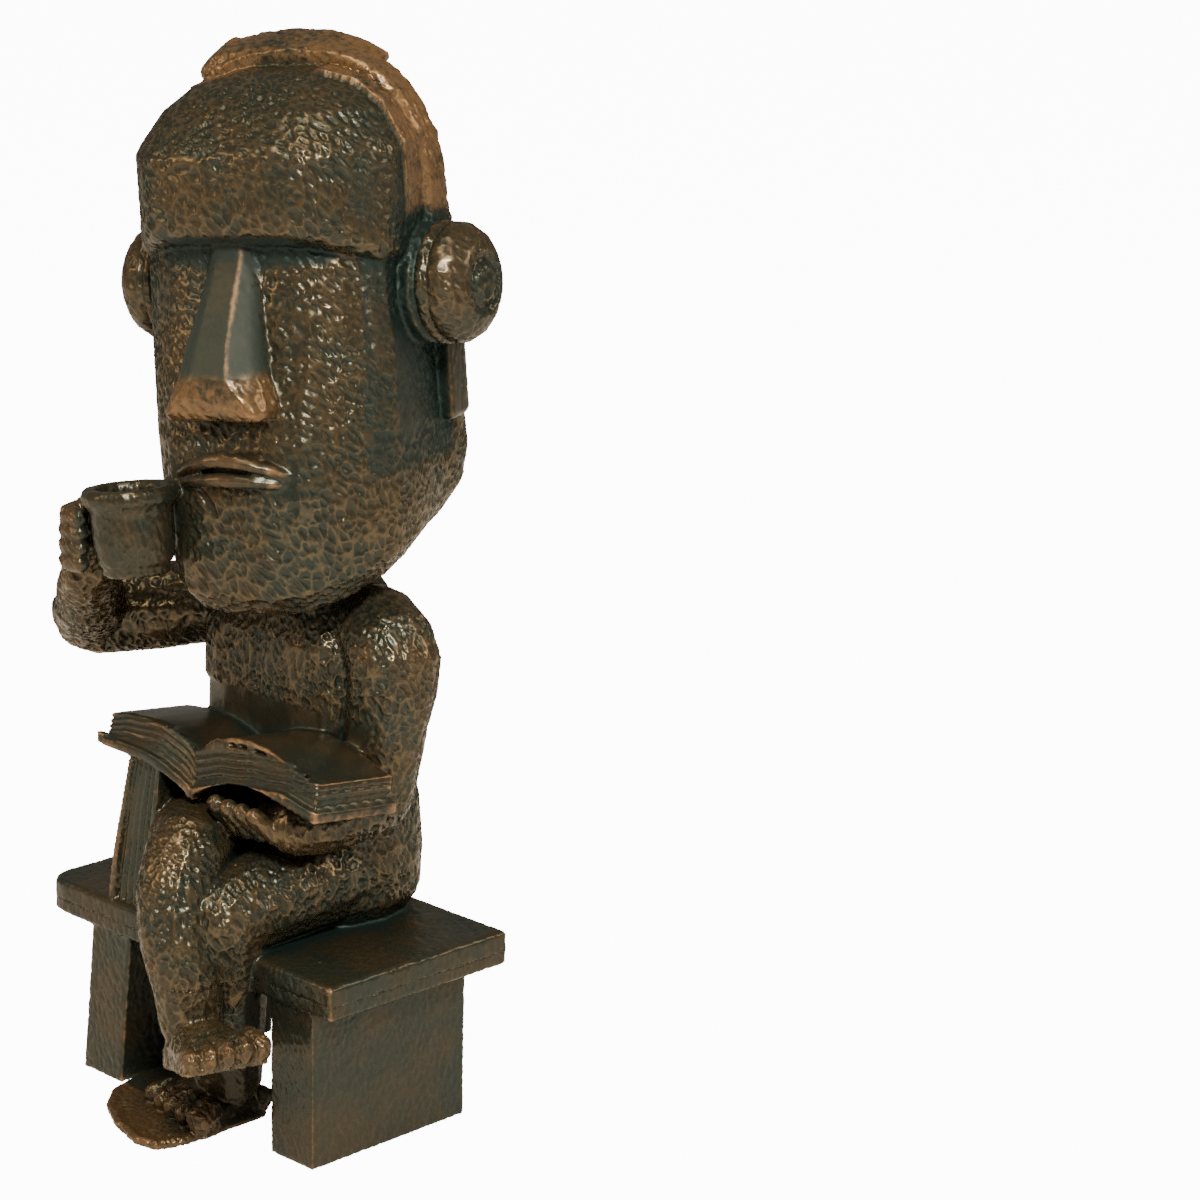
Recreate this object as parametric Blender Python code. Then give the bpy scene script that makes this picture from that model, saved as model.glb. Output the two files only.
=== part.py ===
"""Seated stone-head figurine, cast in one piece.

A long-headed figure in headphones sits cross-legged on a slab bench, with a
cup at its lips and an open book on its lap, and a second book stands on end
beside it. Metres, +Z up. The figure faces -Y and its own left hand is at +X.
The origin lies under the middle of the bounding box, on the surface that the
bench and the planted foot stand on.
"""
import math

import bmesh
import bpy
from mathutils import Matrix, Vector

# Bench
BENCH_LENGTH = 0.0635
BENCH_DEPTH = 0.0340
BENCH_HEIGHT = 0.0285
PLANK_THICKNESS = 0.0052
PLANK_END_ROUNDING = 0.0040
PLANK_EDGE = 0.0005
PLANK_OFFSET = 0.0010
SLAB_THICKNESS = 0.0090
SLAB_SETBACK = 0.0006
SLAB_REAR_SETBACK = 0.0040
NEAR_SLAB_INSET = 0.0033
FAR_SLAB_INSET = 0.0112
FAR_SLAB_SPLAY = 0.0026

# Figure: its free form is laid out in units of its sitting height, seat to crown
SITTING_HEIGHT = 0.1263
UNITS_IN_SITTING_HEIGHT = 126.3
UNIT = SITTING_HEIGHT / UNITS_IN_SITTING_HEIGHT
HEAD_TURN = math.radians(19.0)
HEAD_LEAN = math.radians(-5.0)
HEAD_PIVOT = (1.0, 7.0, 91.0)

# Headphones
EARCUP_RADIUS = 0.0086
EARCUP_DEPTH = 0.0092
BAND_THICKNESS = 0.0034
BAND_WIDTH = 0.0058
PAD_THICKNESS = 0.0054
PAD_WIDTH = 0.0068
PAD_SLOPE = 0.0012
BAND_TILT = math.radians(5.0)

# Cup
CUP_RADIUS = 0.0068
CUP_HEIGHT = 0.0123
CUP_LIP = 0.0012
CUP_WALL = 0.0011
CUP_FLOOR = 0.0046
CUP_TILT = math.radians(-7.0)
CUP_SIDES = 22
HANDLE_THICKNESS = 0.0018

# Open book
LEFT_PAGE_WIDTH = 0.0256
RIGHT_PAGE_WIDTH = 0.0196
BOOK_DEPTH = 0.0142
PAGE_BLOCK = 0.0046
COVER_THICKNESS = 0.0016
LEFT_COVER_OVERHANG = 0.0006
RIGHT_COVER_OVERHANG = 0.0018
PAGE_GROOVE = 0.0005
LEAF_COUNT = 4
RIGHT_HAND_SWELL = (0.0027, 0.0032)
LEFT_HAND_SWELL = (0.0045, 0.0026)
BOOK_TILT = math.radians(-6.5)

# Upright book
UPRIGHT_BOOK_WIDTH = 0.0098
UPRIGHT_BOOK_DEPTH = 0.0100
UPRIGHT_BOOK_GROOVE = 0.0006
UPRIGHT_LEAF_COUNT = 5

# How deep pieces of the one casting run into each other
SINK = 0.0006
# Neighbouring faces closer to one plane than this become one face
FLAT_ENOUGH = math.radians(3.5)

BRONZE = (0.055, 0.048, 0.036, 1.0)
BRONZE_ROUGHNESS = 0.45
BRONZE_METALLIC = 0.7


def clear_scene():
    for item in list(bpy.data.objects):
        bpy.data.objects.remove(item, do_unlink=True)


def body_point(x, y, z):
    """A point of the figure, in its units, from the middle of the seat."""
    return Vector((x * UNIT, y * UNIT, BENCH_HEIGHT + z * UNIT))


def floor_point(x, y, z):
    """A point of the planted foot, in the figure's units, from the floor."""
    return Vector((x * UNIT, y * UNIT, z * UNIT))


def head_matrix():
    turn = Matrix.Rotation(HEAD_TURN, 4, "Z")
    lean = Matrix.Rotation(HEAD_LEAN, 4, "Y")
    return Matrix.Translation(body_point(*HEAD_PIVOT)) @ turn @ lean


def head_point(x, y, z):
    """A point of the head, in the figure's units, from the middle of the ear line."""
    return head_matrix() @ (Vector((x, y, z)) * UNIT)


# Building blocks

def add_solid(name, mesh, collection):
    bmesh.ops.recalc_face_normals(mesh, faces=mesh.faces)
    data = bpy.data.meshes.new(name)
    mesh.to_mesh(data)
    mesh.free()
    item = bpy.data.objects.new(name, data)
    item.hide_render = True
    item.display_type = "WIRE"
    collection.objects.link(item)
    return item


def loft(name, rings, collection):
    """One closed body through rings with the same number of points."""
    mesh = bmesh.new()
    loops = [[mesh.verts.new(point) for point in ring] for ring in rings]
    for low, high in zip(loops, loops[1:]):
        for i in range(len(low)):
            j = (i + 1) % len(low)
            mesh.faces.new((low[i], low[j], high[j], high[i]))
    mesh.faces.new(loops[0])
    mesh.faces.new(loops[-1])
    return add_solid(name, mesh, collection)


def turned(name, profile, matrix, sides, collection):
    """A profile of (radius, height) points turned about Z, then placed by matrix."""
    rings = []
    for radius, height in profile:
        ring = []
        for k in range(sides):
            angle = 2.0 * math.pi * k / sides
            ring.append(matrix @ Vector((radius * math.cos(angle), radius * math.sin(angle), height)))
        rings.append(ring)
    return loft(name, rings, collection)


def rounded(corners, steps=3):
    """Points round a polygon of (x, y, rounding) corners, each corner a short curve."""
    points = []
    count = len(corners)
    for k in range(count):
        here = Vector(corners[k][:2])
        before = Vector(corners[k - 1][:2])
        after = Vector(corners[(k + 1) % count][:2])
        reach_in = min(corners[k][2], 0.45 * (before - here).length)
        reach_out = min(corners[k][2], 0.45 * (after - here).length)
        start = here + (before - here).normalized() * reach_in
        end = here + (after - here).normalized() * reach_out
        for i in range(steps + 1):
            t = i / steps
            points.append((1 - t) ** 2 * start + 2 * t * (1 - t) * here + t ** 2 * end)
    return points


def both_sides(half):
    """Closes a half outline of (x, y, rounding) corners, front to back, across X."""
    return list(half) + [(-x, y, r) for x, y, r in reversed(half)]


def curve_points(points, steps):
    """A smooth curve through points of any size, with steps between each two."""
    result = []
    for k in range(len(points) - 1):
        p1 = points[k]
        p2 = points[k + 1]
        p0 = points[k - 1] if k > 0 else [2 * a - b for a, b in zip(p1, p2)]
        p3 = points[k + 2] if k + 2 < len(points) else [2 * b - a for a, b in zip(p1, p2)]
        for i in range(steps):
            t = i / steps
            result.append([
                0.5 * (2 * b + (c - a) * t + (2 * a - 5 * b + 4 * c - d) * t ** 2
                       + (3 * b - a - 3 * c + d) * t ** 3)
                for a, b, c, d in zip(p0, p1, p2, p3)])
    result.append(list(points[-1]))
    return result


CAP_STEPS = 2


def limb(name, stations, place, collection, sides, steps, side=(1.0, 0.0, 0.0)):
    """A round-ended limb through stations of (x, y, z, half-width, half-thickness)."""
    spine = curve_points(stations, steps)
    centres = [place(*s[:3]) for s in spine]
    widths = [max(s[3], 0.2) * UNIT for s in spine]
    depths = [max(s[4], 0.2) * UNIT for s in spine]
    side = Vector(side)
    rings = []

    def ring(centre, along, width, depth):
        across = (side - along * side.dot(along)).normalized()
        out = along.cross(across)
        points = []
        for k in range(sides):
            angle = 2.0 * math.pi * (k + 0.5) / sides
            points.append(centre + across * width * math.cos(angle) + out * depth * math.sin(angle))
        return points

    last = len(centres) - 1
    first_way = (centres[1] - centres[0]).normalized()
    last_way = (centres[last] - centres[last - 1]).normalized()
    for i in range(CAP_STEPS):
        angle = 0.5 * math.pi * (1 - (i + 0.35) / (CAP_STEPS + 0.35))
        shrink = math.cos(angle)
        reach = math.sin(angle) * min(widths[0], depths[0])
        cap = centres[0] - first_way * reach
        rings.append(ring(cap, first_way, widths[0] * shrink, depths[0] * shrink))
    for i in range(last + 1):
        along = (centres[min(i + 1, last)] - centres[max(i - 1, 0)]).normalized()
        rings.append(ring(centres[i], along, widths[i], depths[i]))
    for i in reversed(range(CAP_STEPS)):
        angle = 0.5 * math.pi * (1 - (i + 0.35) / (CAP_STEPS + 0.35))
        shrink = math.cos(angle)
        reach = math.sin(angle) * min(widths[last], depths[last])
        cap = centres[last] + last_way * reach
        rings.append(ring(cap, last_way, widths[last] * shrink, depths[last] * shrink))
    return loft(name, rings, collection)


def rod(name, points, radius, place, collection, sides, steps):
    """A limb of one thickness."""
    return limb(name, [(x, y, z, radius, radius) for x, y, z in points], place, collection,
                sides, steps, side=(0.2, 0.3, 1.0))


# Bench

def plank_outline(inset):
    half_length = BENCH_LENGTH / 2 - inset
    half_depth = BENCH_DEPTH / 2 - inset
    worn = PLANK_EDGE
    near = PLANK_OFFSET + half_length
    far = PLANK_OFFSET - half_length
    return rounded([(near, -half_depth, worn), (near, half_depth, worn),
                    (far, half_depth, PLANK_END_ROUNDING), (far, -half_depth, PLANK_END_ROUNDING)])


def add_block(name, outlines_and_heights, collection):
    rings = [[Vector((p.x, p.y, height)) for p in outline] for outline, height in outlines_and_heights]
    return loft(name, rings, collection)


def add_bench(collection):
    low = BENCH_HEIGHT - PLANK_THICKNESS
    add_block("plank", [
        (plank_outline(PLANK_EDGE), low), (plank_outline(0.0), low + PLANK_EDGE),
        (plank_outline(0.0), BENCH_HEIGHT - PLANK_EDGE), (plank_outline(PLANK_EDGE), BENCH_HEIGHT)],
              collection)
    near = BENCH_LENGTH / 2 - NEAR_SLAB_INSET - SLAB_THICKNESS / 2
    far = -(BENCH_LENGTH / 2 - FAR_SLAB_INSET - SLAB_THICKNESS / 2)
    for name, x, splay in (("near_slab", near, 0.0), ("far_slab", far, -FAR_SLAB_SPLAY)):
        outline = []
        half = SLAB_THICKNESS / 2
        front = -BENCH_DEPTH / 2 + SLAB_SETBACK
        back = BENCH_DEPTH / 2 - SLAB_REAR_SETBACK
        for dx, y in ((half, front), (half, back), (-half, back), (-half, front)):
            outline.append((x + dx, y, PLANK_EDGE))
        foot = [Vector((p.x + splay, p.y)) for p in rounded(outline)]
        head = rounded(outline)
        add_block(name, [(foot, 0.0), (head, low + SINK)], collection)


# Torso and limbs

TORSO_STATIONS = (
    # height, half-width, half-depth, middle x, middle y
    (-0.6, 17.4, 9.5, 0.5, 6.5), (3.0, 19.8, 11.4, 0.5, 6.5), (9.0, 20.0, 11.8, 0.5, 6.5),
    (16.0, 19.0, 10.8, 0.8, 7.0), (25.0, 16.6, 9.8, 1.0, 7.0), (34.0, 16.8, 9.8, 1.0, 7.0),
    (41.0, 16.6, 9.4, 1.0, 7.0), (47.0, 13.0, 8.0, 1.0, 7.0), (52.0, 8.5, 6.8, 1.2, 7.0),
    (60.0, 8.0, 6.5, 1.5, 7.0))


def add_torso(collection):
    rings = []
    for height, half_width, half_depth, x, y in TORSO_STATIONS:
        bevel = 0.62 * half_depth
        outline = rounded(both_sides([(half_width * 0.80, -half_depth, bevel), (half_width, 0.0, bevel),
                                      (half_width * 0.78, half_depth, bevel)]), 2)
        rings.append([body_point(p.x + x, p.y + y, height) for p in outline])
    loft("torso", rings, collection)


def add_arms(collection):
    """Each upper arm and forearm share a round elbow."""
    limb("left_upper_arm", [
        (9.0, 7.0, 44.0, 5.0, 5.4), (16.0, 6.5, 43.4, 6.4, 6.4), (20.6, 5.6, 39.6, 6.6, 6.8),
        (20.2, 4.8, 31.0, 5.6, 6.0), (19.0, 4.0, 20.6, 5.2, 5.6)], body_point, collection, sides=12, steps=2)
    limb("left_forearm", [
        (18.9, 4.2, 20.0, 5.1, 5.4), (19.4, -4.6, 18.4, 4.7, 4.6), (18.2, -10.4, 18.4, 4.6, 4.2)],
         body_point, collection, sides=12, steps=2)
    limb("right_upper_arm", [
        (-9.0, 7.0, 43.3, 5.5, 5.8), (-15.0, 4.0, 42.8, 5.9, 6.4), (-21.8, -2.5, 40.8, 5.4, 6.0),
        (-29.0, -8.6, 39.6, 5.5, 5.9)], body_point, collection, sides=12, steps=2)
    limb("right_forearm", [
        (-29.2, -8.8, 39.8, 5.4, 5.7), (-20.2, -16.4, 46.0, 4.6, 4.8), (-14.2, -21.0, 50.6, 3.7, 3.9)],
         body_point, collection, sides=12, steps=2)


FINGER_COUNT = 4
FINGER_PITCH = 2.15


def add_left_hand(collection):
    """The hand lies under the open book, its fingers forward and up to the cover."""
    limb("left_palm", [(17.6, -5.0, 18.4, 4.8, 3.8), (13.2, -10.0, 18.0, 5.6, 3.0)],
         body_point, collection, sides=10, steps=2, side=(1.0, -0.5, 0.0))
    for k in range(FINGER_COUNT):
        x = 8.8 + 2.75 * k
        points = [(x + 1.6, -9.4, 17.0), (x + 0.4, -13.8, 16.6 + 0.3 * k), (x - 1.0, -16.2, 20.4)]
        rod("left_finger_%d" % k, points, 1.4, body_point, collection, sides=7, steps=1)


def add_legs(collection):
    limb("left_thigh", [
        (10.5, 7.0, 8.0, 8.5, 8.6), (12.0, -3.0, 7.4, 7.6, 7.6), (12.2, -12.0, 6.4, 6.9, 6.9),
        (12.0, -18.5, 5.0, 6.0, 6.2)], body_point, collection, sides=12, steps=2)
    limb("right_thigh", [
        (-10.0, 6.0, 8.6, 8.8, 8.8), (-6.0, -4.0, 9.8, 7.8, 7.8), (0.5, -14.0, 12.4, 6.8, 6.8),
        (5.8, -19.6, 13.2, 5.8, 5.8)], body_point, collection, sides=12, steps=2)
    limb("crossed_shin", [
        (5.6, -19.6, 13.6, 5.8, 5.8), (7.2, -22.8, 8.4, 5.8, 5.9), (9.4, -24.4, 1.8, 5.3, 5.4),
        (10.9, -24.2, -3.6, 4.8, 4.9), (11.2, -23.8, -9.6, 4.5, 4.4)], body_point, collection,
         sides=12, steps=2)
    knee = body_point(12.0, -18.2, 4.4)
    ankle = floor_point(6.2, -12.8, 6.0)
    stations = []
    for share, radius in ((0.0, 6.1), (0.35, 5.9), (0.7, 5.2), (1.0, 4.8)):
        middle = knee.lerp(ankle, share) / UNIT
        stations.append((middle.x, middle.y, middle.z, radius, radius))
    limb("planted_shin", stations, floor_point, collection, sides=12, steps=2)


FOOT_STATIONS = (
    # share of length, half-width, height of the instep
    (0.00, 2.6, 3.4), (0.06, 3.9, 5.4), (0.22, 4.7, 7.4), (0.42, 5.1, 7.2), (0.60, 5.8, 5.8),
    (0.74, 6.4, 4.4), (0.86, 6.5, 3.2))
TOE_COUNT = 5
TOE_SPREAD = 5.3
SOLE_RIM = 0.75


def foot_frame(forward, up, toe_side):
    forward = forward.normalized()
    up = (up - forward * up.dot(forward)).normalized()
    return forward, up, forward.cross(up).normalized() * toe_side


def add_foot(name, heel, forward, up, length, spread, toe_side, collection):
    """A foot on a flat sole from heel along forward, its big toe on toe_side."""
    forward, up, across = foot_frame(forward, up, toe_side)
    rings = []
    arc_steps = 8
    for share, half_width, height in FOOT_STATIONS:
        ring = []
        for k in range(arc_steps + 1):
            angle = math.pi * k / arc_steps
            wide = half_width * spread * math.cos(angle) * UNIT
            high = height * math.sin(angle) ** 0.8 * UNIT
            ring.append(heel + forward * (share * length) + across * wide + up * high)
        rings.append(ring)
    loft(name, rings, collection)
    for k in range(TOE_COUNT):
        share = k / (TOE_COUNT - 1)
        half_width = (1.55 - 0.35 * share) * spread
        half_height = 2.25 - 0.55 * share
        wide = TOE_SPREAD * (1.0 - 2.0 * share) * spread * UNIT
        reach = length * (1.0 - 0.07 * share ** 2)
        level = half_height * UNIT * 1.08
        root = heel + forward * (reach - 0.30 * length) + across * wide * 0.9 + up * (level + 0.9 * UNIT)
        tip = heel + forward * (reach - half_height * UNIT) + across * wide + up * level
        points = [tuple(p / UNIT) for p in (root, tip)]
        limb("%s_toe_%d" % (name, k), [p + (half_width, half_height) for p in points],
             floor_point, collection, sides=7, steps=1, side=across)


SOLE_OUTLINE = (
    # x, y of the sole's edge on the floor
    (9.7, -9.5), (9.8, -17.5), (9.5, -24.4), (8.2, -27.8), (5.0, -28.6), (-1.5, -26.8), (-7.2, -23.8),
    (-10.4, -20.2), (-12.0, -15.0), (-12.6, -8.0), (-8.0, -4.0), (6.0, -4.0))
SOLE_HEIGHT = 1.1


def add_sole(collection):
    """A thin sole on the floor that shows round the toes, with a raised rim."""
    loft("sole", [[floor_point(x, y, height) for x, y in SOLE_OUTLINE] for height in (0.0, SOLE_HEIGHT)],
         collection)
    rod("sole_rim", [(x, y, SOLE_RIM) for x, y in SOLE_OUTLINE], SOLE_RIM, floor_point, collection,
        sides=6, steps=1)


def add_feet(collection):
    forward = Vector((-0.14, -0.98, 0.0))
    add_foot("planted_foot", floor_point(4.6, -8.2, 0.4), forward, Vector((0.0, 0.0, 1.0)),
             14.2 * UNIT, 1.24, -1.0, collection)
    add_sole(collection)
    forward = Vector((0.92, -0.25, 0.28))
    add_foot("crossed_foot", body_point(9.2, -23.4, -16.2), forward, Vector((-0.28, 0.10, 0.95)),
             17.8 * UNIT, 0.96, -1.0, collection)


# Head

HEAD_STATIONS = (
    # height in front, front y, front half-width, cheek y, side half-width, back y, back half-width,
    # rise from front to back, corner rounding, rounding of the cheek's edge
    (-44.0, -17.6, 5.6, -9.0, 10.5, 8.0, 8.6, 0.30, 4.0, 5.0),
    (-43.2, -21.4, 8.6, -10.0, 15.6, 13.2, 13.6, 0.30, 5.0, 6.0),
    (-40.4, -23.7, 9.7, -10.4, 18.2, 15.4, 16.4, 0.30, 5.0, 6.0),
    (-35.0, -24.4, 10.1, -10.4, 19.2, 15.8, 17.2, 0.27, 5.0, 5.4),
    (-27.0, -24.3, 10.5, -10.6, 19.5, 15.0, 17.2, 0.18, 5.0, 4.6),
    (-19.0, -23.0, 11.1, -10.8, 19.6, 14.6, 17.2, 0.10, 5.0, 3.6),
    (-9.0, -20.6, 11.5, -10.8, 19.5, 13.6, 16.4, 0.03, 5.0, 2.6),
    (4.0, -17.8, 11.2, -10.8, 19.2, 11.9, 15.4, 0.0, 4.6, 2.2),
    (12.0, -16.4, 10.0, -10.0, 16.8, 9.6, 12.8, 0.0, 3.4, 2.2))
BROW_STATIONS = (
    (8.7, -20.6, 11.6, -12.2, 18.2, 9.4, 12.8, -0.44, 2.6, 1.6),
    (9.5, -21.4, 12.4, -11.6, 20.0, 11.2, 14.6, -0.34, 4.0, 1.8),
    (12.0, -21.6, 12.4, -11.4, 20.2, 11.7, 15.0, 0.0, 4.6, 2.0),
    (19.4, -21.3, 12.2, -11.2, 20.0, 11.4, 14.8, 0.0, 4.6, 2.0),
    (20.8, -20.5, 11.8, -10.8, 19.3, 10.8, 14.0, 0.0, 4.6, 2.4),
    (25.0, -16.4, 10.4, -8.8, 16.9, 9.0, 12.2, 0.0, 4.0, 3.0),
    (27.9, -11.8, 8.4, -6.4, 13.4, 7.0, 9.8, 0.0, 4.0, 3.0),
    (29.6, -7.4, 5.4, -4.0, 8.6, 4.8, 6.6, 0.0, 3.0, 2.0),
    (30.1, -3.8, 2.6, -2.4, 4.8, 3.0, 3.4, 0.0, 1.5, 1.0))
SIDE_TAPER = 1.3
FACE_X = -0.7


def head_ring(station, offset):
    height, front, front_half, cheek, side_half, back, back_half, rise, corner, cheek_corner = station
    behind = 0.65 * back
    half = [(front_half, front, corner), (side_half, cheek, cheek_corner),
            (side_half - SIDE_TAPER, 0.35 * back, corner),
            (0.6 * side_half + 0.4 * back_half, behind, corner), (back_half * 0.94, back, corner)]
    outline = rounded(both_sides(half), 2)
    return [head_point(p.x + offset, p.y, height + rise * (p.y - front)) for p in outline]


def add_head(collection):
    loft("face", [head_ring(s, FACE_X) for s in HEAD_STATIONS], collection)
    loft("brow", [head_ring(s, 0.0) for s in BROW_STATIONS], collection)


NOSE_STATIONS = (
    # height, front y, front half-width, flank y, flank half-width
    (10.0, -17.8, 1.7, -16.8, 3.0), (5.5, -19.2, 1.9, -17.8, 3.7), (0.0, -22.2, 2.2, -20.0, 4.5),
    (-5.0, -25.2, 2.5, -22.8, 5.3), (-9.4, -27.2, 3.0, -24.2, 6.2), (-12.2, -27.5, 5.2, -25.2, 7.2),
    (-14.4, -27.2, 6.8, -25.6, 7.8), (-15.3, -26.4, 6.6, -25.0, 7.5))
NOSE_ROOT_Y = -16.0
NOSE_X = -1.4


def add_nose(collection):
    """A ridge with a front and two flanks that spreads into a broad bar at its foot."""
    rings = []
    for height, front, front_half, flank, flank_half in NOSE_STATIONS:
        half = [(front_half, front, 0.5), (flank_half, flank, 0.7), (flank_half * 1.06, NOSE_ROOT_Y, 0.4)]
        rings.append([head_point(p.x + NOSE_X, p.y, height) for p in rounded(both_sides(half), 2)])
    loft("nose", rings, collection)


MOUTH_HALF = 8.5
MOUTH_X = -0.8
LIP_STEPS = 4


def add_lips(collection):
    for name, middle, corner, bulge, radius in (
            ("upper_lip", -20.8, -23.4, 25.8, 1.15), ("lower_lip", -23.6, -24.6, 25.6, 1.1)):
        stations = []
        for k in range(-LIP_STEPS, LIP_STEPS + 1):
            share = k / LIP_STEPS
            height = middle + (corner - middle) * abs(share) ** 1.8
            front = -bulge + 3.6 * abs(share) ** 2.4
            across = MOUTH_X + MOUTH_HALF * share
            stations.append((across, front, height, radius * (1.0 - 0.25 * abs(share)), radius))
        limb(name, stations, head_point, collection, sides=7, steps=1, side=(0.0, 0.0, 1.0))


def add_ears(collection):
    """Long lobes hang behind the cushions of the headphones."""
    for mirror in (1.0, -1.0):
        rings = []
        for height, inset in ((-20.0, 0.8), (-19.2, 0.0), (-4.0, 0.0)):
            rings.append([
                head_point(mirror * p.x, p.y, height)
                for p in rounded([(20.2 - inset, 2.6 + inset, 0.5), (19.8 - inset, 9.0 - inset, 1.2),
                                  (13.0, 8.4, 0.5), (13.0, 3.0, 0.5)], 2)])
        loft("ear_lobe", rings, collection)


# Headphones

EARCUP_SEAT = 19.0
EARCUP_SIDES = 20
BAND_PATH = (
    # across and up from the middle of the ear line, on the outside of the band, to the crown
    (21.2, -4.0), (20.9, 6.0), (20.2, 13.0), (19.0, 20.0), (16.4, 26.0), (12.0, 30.2), (6.6, 32.6),
    (0.0, 33.4))
PAD_PATH = ((14.0, 30.6), (10.8, 32.9), (5.6, 34.5), (0.0, 34.9))
PAD_X = -1.4
PAD_Y = 1.2


def headphone_matrix():
    place = head_matrix() @ Matrix.Translation(Vector((0.0, 3.4, 0.0)) * UNIT)
    return place @ Matrix.Rotation(BAND_TILT, 4, "X")


def add_headphones(collection):
    place = headphone_matrix()
    shell = EARCUP_SEAT * UNIT
    radius = EARCUP_RADIUS
    depth = EARCUP_DEPTH
    for mirror in (1.0, -1.0):
        quarter = Matrix.Rotation(mirror * math.pi / 2, 4, "Y")
        profile = [
            (radius * 0.90, shell - 5.0 * SINK), (radius * 0.98, shell + 0.04 * depth),
            (radius * 0.98, shell + 0.14 * depth), (radius * 0.90, shell + 0.18 * depth),
            (radius * 0.90, shell + 0.22 * depth), (radius * 1.00, shell + 0.26 * depth),
            (radius * 1.00, shell + 0.36 * depth), (radius * 0.90, shell + 0.41 * depth),
            (radius * 0.98, shell + 0.46 * depth), (radius * 0.97, shell + 0.62 * depth),
            (radius * 0.86, shell + 0.80 * depth), (radius * 0.68, shell + 0.93 * depth),
            (radius * 0.52, shell + 0.98 * depth), (radius * 0.46, shell + 0.90 * depth),
            (radius * 0.36, shell + 0.90 * depth), (radius * 0.28, shell + depth),
            (radius * 0.12, shell + depth)]
        turned("earcup", profile, head_matrix() @ quarter, EARCUP_SIDES, collection)
    add_strap("band", BAND_PATH, 2, BAND_THICKNESS * 2.0, BAND_WIDTH, 0.0, place, collection)
    pad_place = place @ Matrix.Translation(Vector((PAD_X, PAD_Y, 0.0)) * UNIT)
    add_strap("band_pad", PAD_PATH, 2, PAD_THICKNESS, PAD_WIDTH, PAD_SLOPE, pad_place, collection)


def add_strap(name, half_path, steps, thickness, width, slope, place, collection):
    """A flat strap bent over the head on a path that is the same on both sides.

    Slope is how far its front edge lies inward of its back edge.
    """
    half = curve_points([p for p in half_path], steps)
    path = [Vector(p) * UNIT for p in half] + [Vector((-p[0], p[1])) * UNIT for p in reversed(half[:-1])]
    rings = []
    edge = 0.12 * width
    last = len(path) - 1
    for k, point in enumerate(path):
        along = (path[min(k + 1, last)] - path[max(k - 1, 0)]).normalized()
        inward = Vector((-along.y, along.x))
        deep = point + inward * thickness
        bevel = inward * (edge / 2)
        front = point + inward * slope
        rings.append([place @ Vector((p.x, y, p.y)) for p, y in (
            (deep, -width / 2), (front + bevel, -width / 2), (front, -width / 2 + edge),
            (point, width / 2 - edge), (point + bevel, width / 2), (deep, width / 2))])
    loft(name, rings, collection)


# Cup and the hand that holds it

def cup_matrix():
    place = Matrix.Translation(body_point(-1.7, -23.0, 53.0)) @ Matrix.Rotation(CUP_TILT, 4, "Y")
    return place @ Matrix.Translation((1.0 * UNIT, 0.0, 0.0))


def add_cup(collection):
    rim = CUP_RADIUS
    body = CUP_RADIUS - CUP_LIP
    h = CUP_HEIGHT
    profile = [
        (body * 0.76, 0.0), (body * 0.84, 0.04 * h), (body * 0.82, 0.10 * h), (body * 0.93, 0.16 * h),
        (body * 1.0, 0.34 * h), (body * 1.02, 0.74 * h), (rim - 0.5 * CUP_LIP, 0.80 * h), (rim, 0.86 * h),
        (rim, 0.94 * h), (rim - 0.4 * CUP_LIP, h), (body - 0.5 * CUP_WALL, h), (body - CUP_WALL, 0.94 * h),
        (body - CUP_WALL, CUP_FLOOR + 0.1 * h), (body * 0.5, CUP_FLOOR)]
    turned("cup", profile, cup_matrix(), CUP_SIDES, collection)


def add_right_hand(collection):
    """Four fingers in a row close on the cup's handle, at the figure's right."""
    middle = cup_matrix() @ Vector((0.0, 0.0, 0.5 * CUP_HEIGHT))
    out = Vector((-0.98, -0.10, 0.0)).normalized()
    front = Vector((0.0, -1.0, 0.0))
    up = Vector((0.0, 0.0, 1.0))
    wall = middle + out * (CUP_RADIUS - CUP_LIP) * 0.9
    loop = []
    for k in range(7):
        angle = math.radians(-80.0 + 160.0 * k / 6)
        loop.append(wall + out * (4.6 * UNIT * math.cos(angle)) + up * (0.30 * CUP_HEIGHT * math.sin(angle)))
    thick = HANDLE_THICKNESS / 2 / UNIT
    limb("cup_handle", [tuple(p / UNIT) + (thick, thick) for p in loop], floor_point, collection,
         sides=7, steps=1, side=(0.0, 1.0, 0.0))
    fist = wall + out * 5.2 * UNIT
    for k in range(FINGER_COUNT):
        level = up * ((1.1 - FINGER_PITCH * k) * UNIT)
        knuckle = fist + out * (0.7 - 0.2 * abs(k - 1)) * UNIT + level
        points = [fist - front * 3.2 * UNIT + level, knuckle,
                  fist + front * 2.9 * UNIT - out * 0.6 * UNIT + level,
                  fist + front * 3.4 * UNIT - out * 3.4 * UNIT + level]
        rod("right_finger_%d" % k, [tuple(p / UNIT) for p in points], 1.5, floor_point, collection,
            sides=8, steps=1)
    palm = [body_point(-14.0, -21.0, 51.0), fist - front * 1.4 * UNIT - up * 3.6 * UNIT,
            fist - front * 1.2 * UNIT + up * 0.4 * UNIT]
    limb("right_palm", [tuple(p / UNIT) + (3.2, 2.7) for p in palm], floor_point, collection,
         sides=10, steps=2, side=(0.0, 1.0, 0.0))
    thumb = [fist - front * 2.6 * UNIT + up * 1.4 * UNIT, wall - front * 3.0 * UNIT + up * 1.8 * UNIT,
             wall - out * 2.4 * UNIT - front * 4.6 * UNIT + up * 1.0 * UNIT]
    rod("right_thumb", [tuple(p / UNIT) for p in thumb], 1.35, floor_point, collection, sides=7, steps=2)


# Books

def book_matrix():
    return Matrix.Translation(body_point(2.9, -9.3, 20.7)) @ Matrix.Rotation(BOOK_TILT, 4, "X")


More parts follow.
